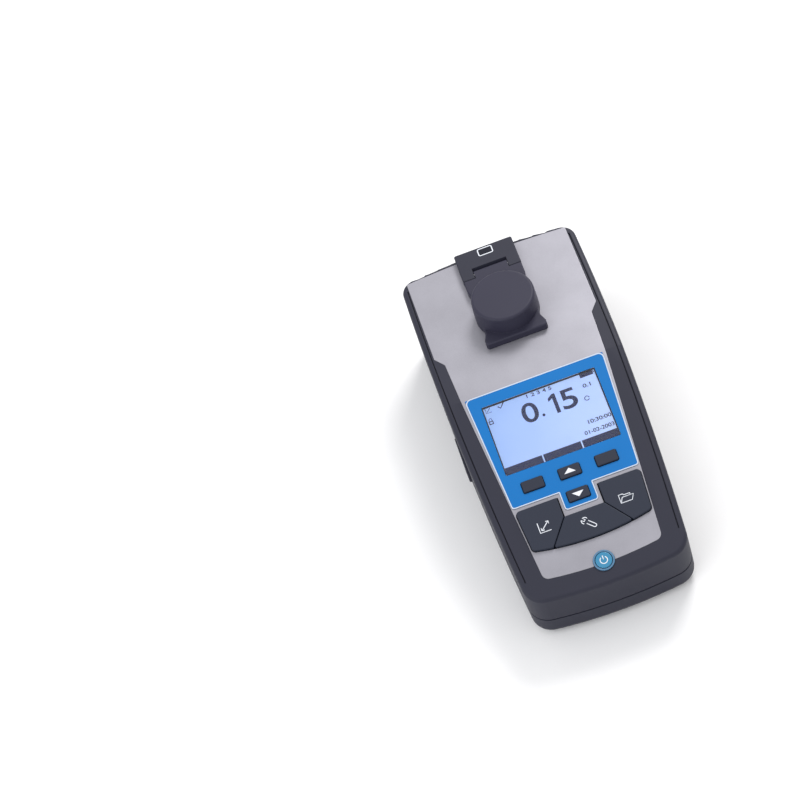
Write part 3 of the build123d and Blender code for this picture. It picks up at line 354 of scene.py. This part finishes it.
def settle(name, mesh, place, body, finish):
    # a flat drawing in millimetres is thinned to a film of ink and laid on its surface
    low = min(v.co.z for v in mesh.vertices)
    high = max(v.co.z for v in mesh.vertices)
    thin = ink["thick"] / (high - low)
    flatten = Matrix.Diagonal((mm, mm, thin * mm, 1)) @ Matrix.Translation((0, 0, -low))
    mesh.transform(place @ Matrix.Translation((0, 0, ink["lift"] * mm)) @ flatten)
    piece = bpy.data.objects.new(name, mesh)
    bpy.context.scene.collection.objects.link(piece)
    mesh.materials.clear()
    mesh.materials.append(finish)
    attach(piece, body)


def meshOf(data):
    # text and curves become a mesh before their place is applied
    holder = bpy.data.objects.new("holder", data)
    bpy.context.scene.collection.objects.link(holder)
    bpy.context.view_layer.update()
    mesh = bpy.data.meshes.new_from_object(holder.evaluated_get(bpy.context.evaluated_depsgraph_get()))
    bpy.data.objects.remove(holder)
    tidy = bmesh.new()
    tidy.from_mesh(mesh)
    bmesh.ops.remove_doubles(tidy, verts=tidy.verts, dist=0.0005)
    bmesh.ops.recalc_face_normals(tidy, faces=tidy.faces)
    tidy.to_mesh(mesh)
    tidy.free()
    return mesh


def strokes(lines, width, closed=False):
    curve = bpy.data.curves.new("strokes", "CURVE")
    curve.dimensions = "3D"
    curve.bevel_depth = width / 2
    curve.bevel_resolution = 1
    curve.use_fill_caps = True
    for line in lines:
        spline = curve.splines.new("POLY")
        spline.points.add(len(line) - 1)
        for point, (x, y) in zip(spline.points, line):
            point.co = (x, y, 0, 1)
        spline.use_cyclic_u = closed
    return meshOf(curve)


def shapes(outlines):
    # filled outlines; one inside another is a hole
    curve = bpy.data.curves.new("shapes", "CURVE")
    curve.dimensions = "2D"
    curve.fill_mode = "BOTH"
    curve.extrude = 0.5
    for outline in outlines:
        spline = curve.splines.new("POLY")
        spline.points.add(len(outline) - 1)
        for point, (x, y) in zip(spline.points, outline):
            point.co = (x, y, 0, 1)
        spline.use_cyclic_u = True
    return meshOf(curve)


def numerals(text, wide, high, weight=0.0):
    # plain figures, stretched to a given width and height about their own middle
    data = bpy.data.curves.new("numerals", "FONT")
    data.body = text
    data.size = high * 1.42  # the plain font's figures are 0.70 of its size
    data.offset = weight
    data.extrude = 0.5
    data.resolution_u = 6
    mesh = meshOf(data)
    spans = [(min(v.co[i] for v in mesh.vertices), max(v.co[i] for v in mesh.vertices)) for i in (0, 1)]
    (left, right), (low, top) = spans
    mesh.transform(Matrix.Translation((-(left + right) / 2, -(low + top) / 2, 0)))
    mesh.transform(Matrix.Diagonal((wide / (right - left), high / (top - low), 1, 1)))
    return mesh


def box(x, y, wide, high):
    return [(x - wide / 2, y - high / 2), (x + wide / 2, y - high / 2),
            (x + wide / 2, y + high / 2), (x - wide / 2, y + high / 2)]


# What the display shows, drawn on its glass under the window: a plain reading and simple signs
reading = {"figures": (("0", -8.7, -20.2, 9.3, 12.3), (".", -2.0, -24.5, 1.7, 1.7),
                       ("5", 14.0, -20.2, 9.0, 12.3)), "weight": 0.2}
display = onSlope(0, 0, level["lcd"])


def show(name, mesh, x=0.0, v=0.0):
    mesh.transform(Matrix.Translation((x, v, 0)))
    settle(name, mesh, display, "case", navy)


for place, (figure, x, v, wide, high) in enumerate(reading["figures"]):
    show(f"reading_{place}", numerals(figure, wide, high, reading["weight"]), x, v)

# the font's own figure one is too narrow to stretch, so this one is drawn
figureOne = {"at": (5.1, -20.2), "outline": [(0.3, -6.15), (2.4, -6.15), (2.4, 6.15), (0.7, 6.15),
                                             (-2.2, 4.1), (-2.2, 2.2), (0.3, 3.7)]}
show("reading_one", shapes([figureOne["outline"]]), *figureOne["at"])

signs = {"batteryAt": (28.1, -9.6), "tickAt": (-22.6, -10.0), "lockAt": (-30.7, -17.4),
         "graphAt": (-29.9, -10.2), "dialAt": (23.4, -23.8), "dialRadius": 1.3}

# small plain numbers: the figures, their middle, width and height
smallText = {"weight": 0.06, "lines": {
    "clock": ("10:30:00", 25.8, -37.8, 13.4, 2.4),
    "day": ("01-02-2003", 23.7, -43.6, 17.2, 2.4),
    "count": ("1 2 3 4 5", -0.2, -10.2, 14.6, 2.3),
    "range": ("0.1", 25.9, -16.1, 4.6, 2.4),
}}
for label, (text, x, v, wide, high) in smallText["lines"].items():
    show("display_" + label, numerals(text, wide, high, smallText["weight"]), x, v)
show("display_dial", strokes([arcPoints(*signs["dialAt"], signs["dialRadius"], 0, 330, 20)], 0.45))

tabs = {"v": -49.4, "high": 4.9, "edges": ((-33.1, -11.1), (-10.3, 11.4), (12.2, 33.1))}
for place, (left, right) in enumerate(tabs["edges"]):
    show(f"display_tab_{place}", shapes([box((left + right) / 2, tabs["v"], right - left, tabs["high"])]))

batteryX, batteryV = signs["batteryAt"]
show("display_battery", shapes([box(batteryX - 0.3, batteryV, 7.6, 2.9)]))
show("display_battery_tip", shapes([box(batteryX + 3.9, batteryV, 0.6, 1.3)]))
tickX, tickV = signs["tickAt"]
show("display_tick", strokes([[(tickX - 1.8, tickV), (tickX - 0.4, tickV - 1.5),
                               (tickX + 2.2, tickV + 1.7)]], 0.7))
lockX, lockV = signs["lockAt"]
show("display_lock", strokes([[(lockX - 0.8, lockV + 0.4), *arcPoints(lockX, lockV + 1.2, 0.8, 180, 0, 8),
                               (lockX + 0.8, lockV + 0.4)]], 0.35))
show("display_lock_body", shapes([box(lockX, lockV - 0.7, 2.6, 2.2), box(lockX, lockV - 0.7, 1.5, 1.1)]))
graphX, graphV = signs["graphAt"]
show("display_graph", strokes([[(graphX - 1.6, graphV + 1.6), (graphX - 1.6, graphV - 1.6),
                                (graphX + 1.6, graphV - 1.6)],
                               [(graphX - 1.0, graphV - 1.0), (graphX + 1.2, graphV + 1.2)]], 0.3))

filmBorder = {"corners": [(-9.3, -83.0), (9.3, -83.0), (9.3, -72.0), (36.1, -72.0), (40.5, -0.9),
                          (-40.5, -0.9), (-36.1, -72.0), (-9.3, -72.0)],
              "radii": [1.6, 1.6, 0.4, 1.6, 3.0, 3.0, 1.6, 0.4], "wide": 0.7}
borderLine = roundedOutline(filmBorder["corners"], filmBorder["radii"])
settle("film_border", strokes([borderLine], filmBorder["wide"], True),
       onSlope(0, 0, level["film"]), "case", hairline)

arrow = {"half": 3.3, "tall": 2.9}
for name, v, way in (("key_up", -62.0, 1), ("key_down", -77.0, -1)):
    half, tall = arrow["half"], arrow["tall"] * way
    settle(name + "_mark", shapes([[(-half, -tall / 2), (half, -tall / 2), (0, tall / 2)]]),
           onSlope(0, v, level["smallKey"]), name, white)

graphMark = {"at": (-23.4, -88.4), "wide": 0.55}
x, v = graphMark["at"]
settle("key_calibrate_mark",
       strokes([[(x - 3.1, v + 3.1), (x - 3.1, v - 3.0), (x + 3.1, v - 3.0)],
                [(x - 1.9, v - 1.9), (x + 2.9, v + 2.5)],
                [(x + 1.3, v + 2.6), (x + 2.9, v + 2.5), (x + 2.8, v + 0.9)],
                [(x - 1.9, v - 0.3), (x - 1.9, v - 1.9), (x - 0.3, v - 1.9)]], graphMark["wide"]),
       onSlope(0, 0, level["padKey"]), "key_calibrate", white)

wrenchMark = {"at": (0.0, -95.2), "tilt": -45.0, "wide": 0.5}
jaw = arcPoints(0, 2.9, 1.9, 68, -248, 18)
wrench = strokes([[(0.65, 3.6), *jaw[:6]], [(-0.65, 3.6), *reversed(jaw[-6:])],
                  [(0.65, 3.6), (0.65, 2.9), (-0.65, 2.9), (-0.65, 3.6)],
                  [(-0.95, 1.25), (-0.95, -3.2), *arcPoints(0, -3.2, 0.95, 180, 360, 8), (0.95, 1.25)]],
                 wrenchMark["wide"])
wrench.transform(Matrix.Rotation(math.radians(-wrenchMark["tilt"]), 4, "Z"))
wrench.transform(Matrix.Translation((*wrenchMark["at"], 0)))
settle("key_tools_mark", wrench, onSlope(0, 0, level["padKey"]), "key_tools", white)

folderMark = {"at": (23.2, -88.6), "wide": 0.5}
x, v = folderMark["at"]
settle("key_data_mark",
       strokes([[(x - 3.6, v - 2.3), (x - 3.6, v + 2.6), (x - 1.3, v + 2.6), (x - 0.7, v + 1.9),
                 (x + 2.6, v + 1.9), (x + 2.6, v + 0.8)],
                [(x - 3.6, v - 2.3), (x - 2.0, v + 0.8), (x + 4.3, v + 0.8), (x + 2.7, v - 2.3),
                 (x - 3.6, v - 2.3)]],
               folderMark["wide"]),
       onSlope(0, 0, level["padKey"]), "key_data", white)

powerMark = {"v": -117.7, "radius": 2.0, "wide": 0.55, "ring": (125, 415), "stem": (0.3, 2.6)}
settle("power_mark",
       strokes([arcPoints(0, powerMark["v"], powerMark["radius"], *powerMark["ring"], 24),
                [(0, powerMark["v"] + reach) for reach in powerMark["stem"]]], powerMark["wide"]),
       onSlope(0, 0, level["power"]), "power_button", white)

cellMark = {"at": (0.6, 109.3), "ground": 65.595, "top": 65.6, "size": (8.4, 5.0), "wide": 0.8, "round": 0.9}
x, y = cellMark["at"]
wide, high = cellMark["size"]
frameLine = roundedOutline(box(x, y, wide, high), [cellMark["round"]] * 4)
settle("hinge_mark_ground", shapes([frameLine]),
       onTop(0, 0, cellMark["ground"]), "case", darkInk)
settle("hinge_mark", strokes([frameLine], cellMark["wide"], True),
       onTop(0, 0, cellMark["top"]), "case", white)
print("marks printed")

floor = {"size": 3.0, "colour": (0.93, 0.93, 0.94, 1.0)}
ground = bmesh.new()
bmesh.ops.create_grid(ground, x_segments=8, y_segments=8, size=floor["size"])
groundMesh = bpy.data.meshes.new("floor")
ground.to_mesh(groundMesh)
ground.free()
floorPiece = bpy.data.objects.new("floor", groundMesh)
bpy.context.scene.collection.objects.link(floorPiece)
paper, paperTree, paperShader = newFinish("paleFloor")
paperGrain = useGroup(paperTree, fineGrain, Scale=900.0, Contrast=0.03)
wire(paperTree, mixColour(paperTree, 1.0, floor["colour"], paperGrain.outputs["Tone"], "MULTIPLY"),
     paperShader.inputs["Base Color"])
paperShader.inputs["Roughness"].default_value = 0.85
groundMesh.materials.append(paper)

lamps = {
    "keyLight": {"at": (0.55, 0.75, 0.95), "size": 0.45, "power": 9.0, "colour": (1.0, 0.985, 0.965)},
    "fillLight": {"at": (-0.9, -0.5, 0.9), "size": 1.2, "power": 6.0, "colour": (0.96, 0.98, 1.0)},
}
aim = Vector((0, 0, 0.03))
for name, lamp in lamps.items():
    data = bpy.data.lights.new(name, "AREA")
    data.size = lamp["size"]
    data.energy = lamp["power"]
    data.color = lamp["colour"]
    light = bpy.data.objects.new(name, data)
    light.location = lamp["at"]
    light.rotation_euler = (aim - Vector(lamp["at"])).to_track_quat("-Z", "Y").to_euler()
    bpy.context.scene.collection.objects.link(light)

sky = {"colour": (1.0, 1.0, 1.0, 1.0), "strength": 0.85}
world = bpy.data.worlds.new("studio")
world.use_nodes = True
world.node_tree.nodes["Background"].inputs["Color"].default_value = sky["colour"]
world.node_tree.nodes["Background"].inputs["Strength"].default_value = sky["strength"]
bpy.context.scene.world = world
bpy.context.scene.view_settings.view_transform = "Standard"

# the lens sees the meter from its foot end, well above it, turned a quarter of a right angle
view = {"at": (-0.0402, -0.73085, 0.9998), "right": (0.9392, -0.2494, -0.2362),
        "up": (0.3423, 0.7361, 0.5839),
        "back": (0.0283, -0.6292, 0.7767), "lens": 96.84, "sensor": 36.0}
camera = bpy.data.cameras.new("camera")
camera.lens = view["lens"]
camera.sensor_width = view["sensor"]
camera.clip_start, camera.clip_end = 0.01, 50.0
eye = bpy.data.objects.new("camera", camera)
turn = Matrix((view["right"], view["up"], view["back"])).transposed()
eye.matrix_world = Matrix.Translation(view["at"]) @ turn.to_4x4()
bpy.context.scene.collection.objects.link(eye)
bpy.context.scene.camera = eye
print("studio ready")
